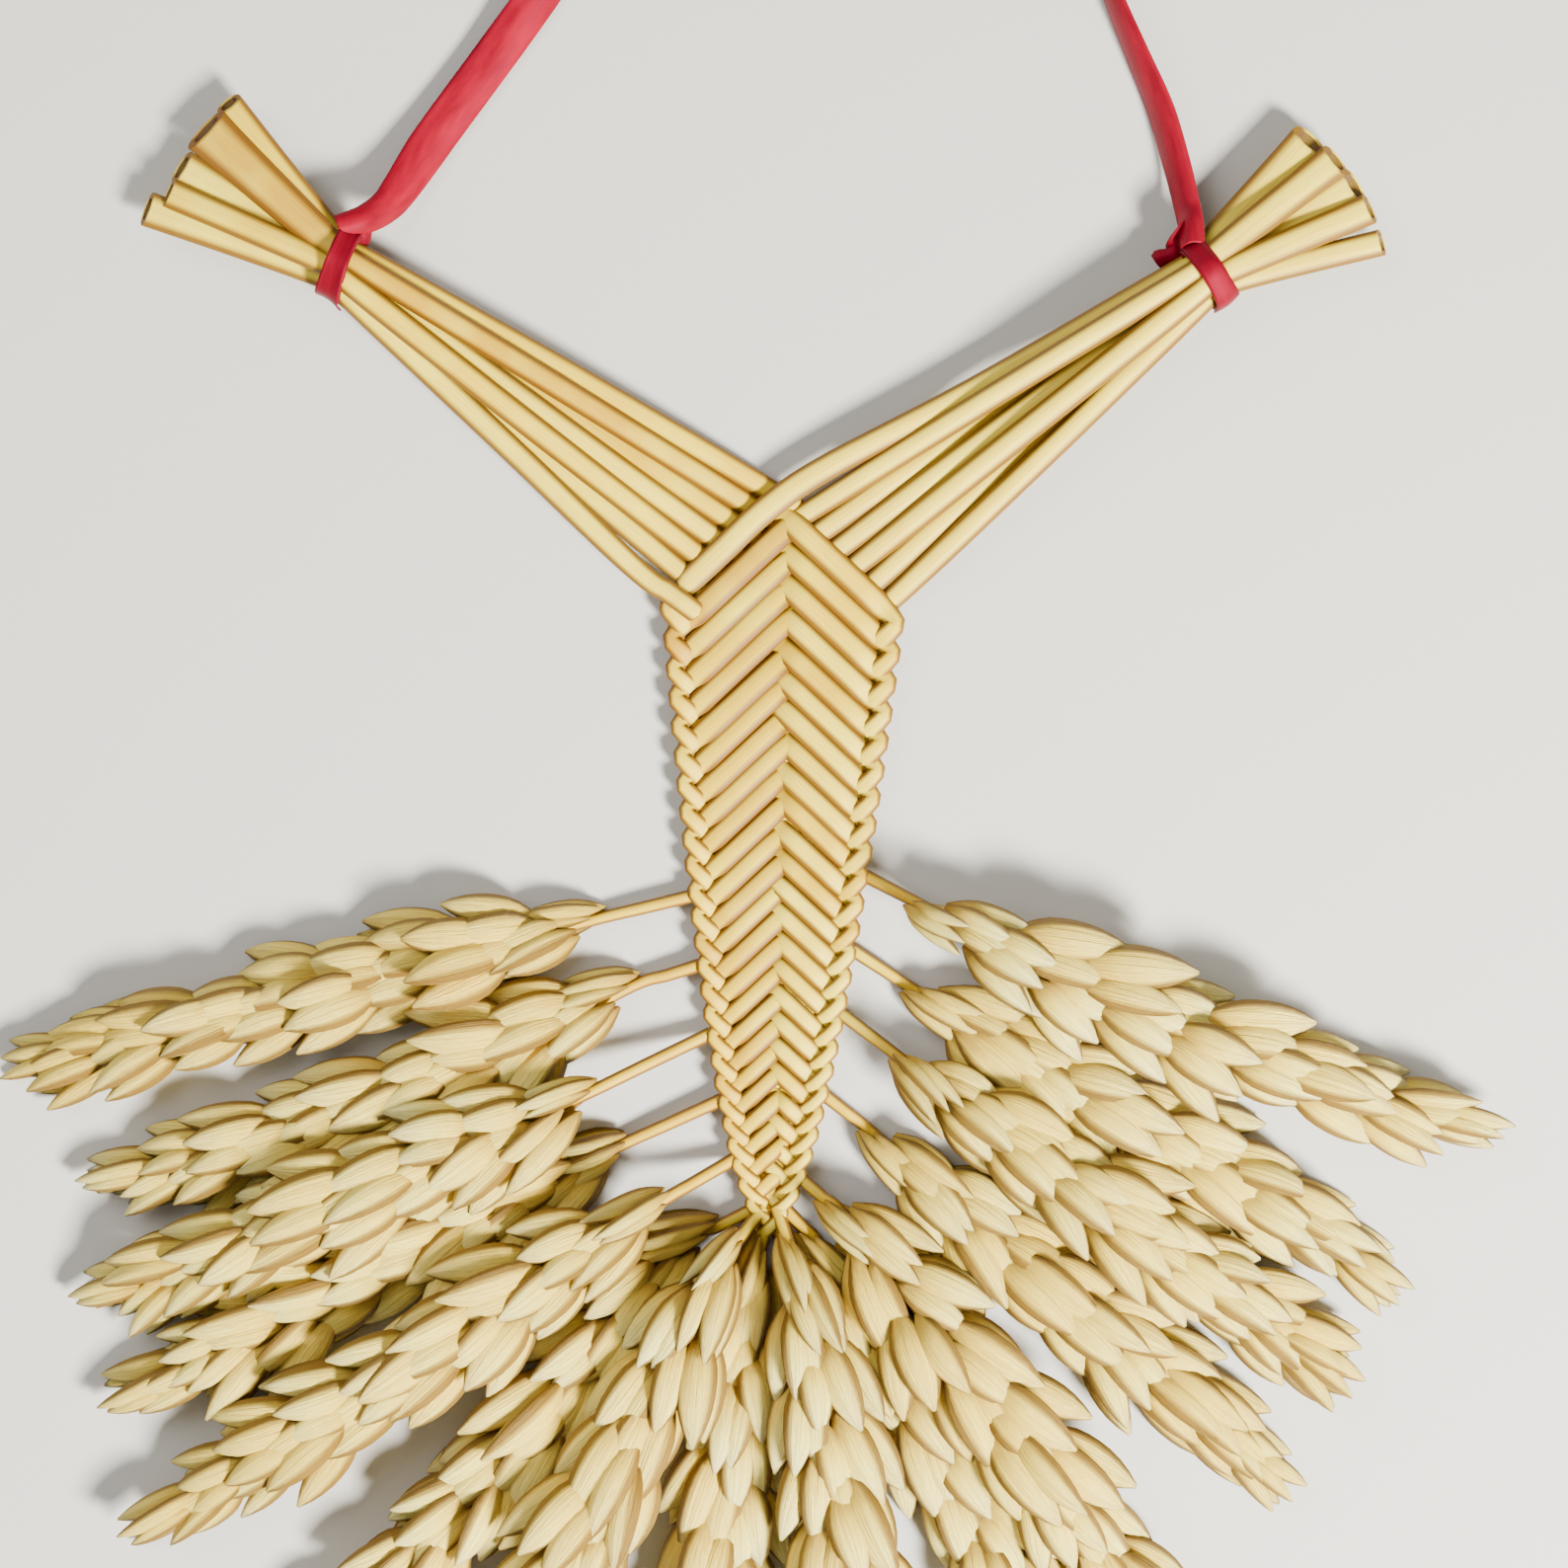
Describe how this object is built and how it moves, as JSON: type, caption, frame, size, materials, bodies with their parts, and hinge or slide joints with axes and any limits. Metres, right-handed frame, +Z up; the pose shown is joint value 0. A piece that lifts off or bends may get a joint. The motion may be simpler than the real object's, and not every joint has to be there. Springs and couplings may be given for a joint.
{
  "type": "straw ornament",
  "caption": "Woven wheat-straw ornament: a flat tapering herringbone plait with a fan of ears at its foot and two ribbon-tied arms of cut straw.",
  "frame": {"origin": "on the surface that the ornament lies on, in the middle of the straw work's length and width", "axes": "+X to the right across the fan, +Y from the ears up to the tied arms, +Z up from the surface"},
  "size_m": [0.2108, 0.3167, 0.0137],
  "materials": {
    "straw": "smooth golden wheat straw, satin",
    "wheat_ear": "dry pale papery wheat husks, matt",
    "satin_ribbon": "red satin ribbon with woven edges"
  },
  "bodies": {
    "root": {"plait": "straw", "straw_left_1": "straw", "straw_left_2": "straw", "straw_left_3": "straw", "straw_left_4": "straw", "straw_left_5": "straw", "straw_left_6": "straw", "straw_left_7": "straw", "straw_right_1": "straw", "straw_right_2": "straw", "straw_right_3": "straw", "straw_right_4": "straw", "straw_right_5": "straw", "straw_right_6": "straw", "straw_right_7": "straw", "ear_left_1": "wheat_ear", "ear_left_2": "wheat_ear", "ear_left_3": "wheat_ear", "ear_left_4": "wheat_ear", "ear_left_5": "wheat_ear", "ear_foot_1": "wheat_ear", "ear_foot_2": "wheat_ear", "ear_foot_3": "wheat_ear", "ear_foot_4": "wheat_ear", "ear_foot_5": "wheat_ear", "ear_right_1": "wheat_ear", "ear_right_2": "wheat_ear", "ear_right_3": "wheat_ear", "ear_right_4": "wheat_ear", "ear_right_5": "wheat_ear", "ribbon_tie_left": "satin_ribbon", "ribbon_tie_right": "satin_ribbon", "ribbon_loop": "satin_ribbon"}
  },
  "joints": []
}
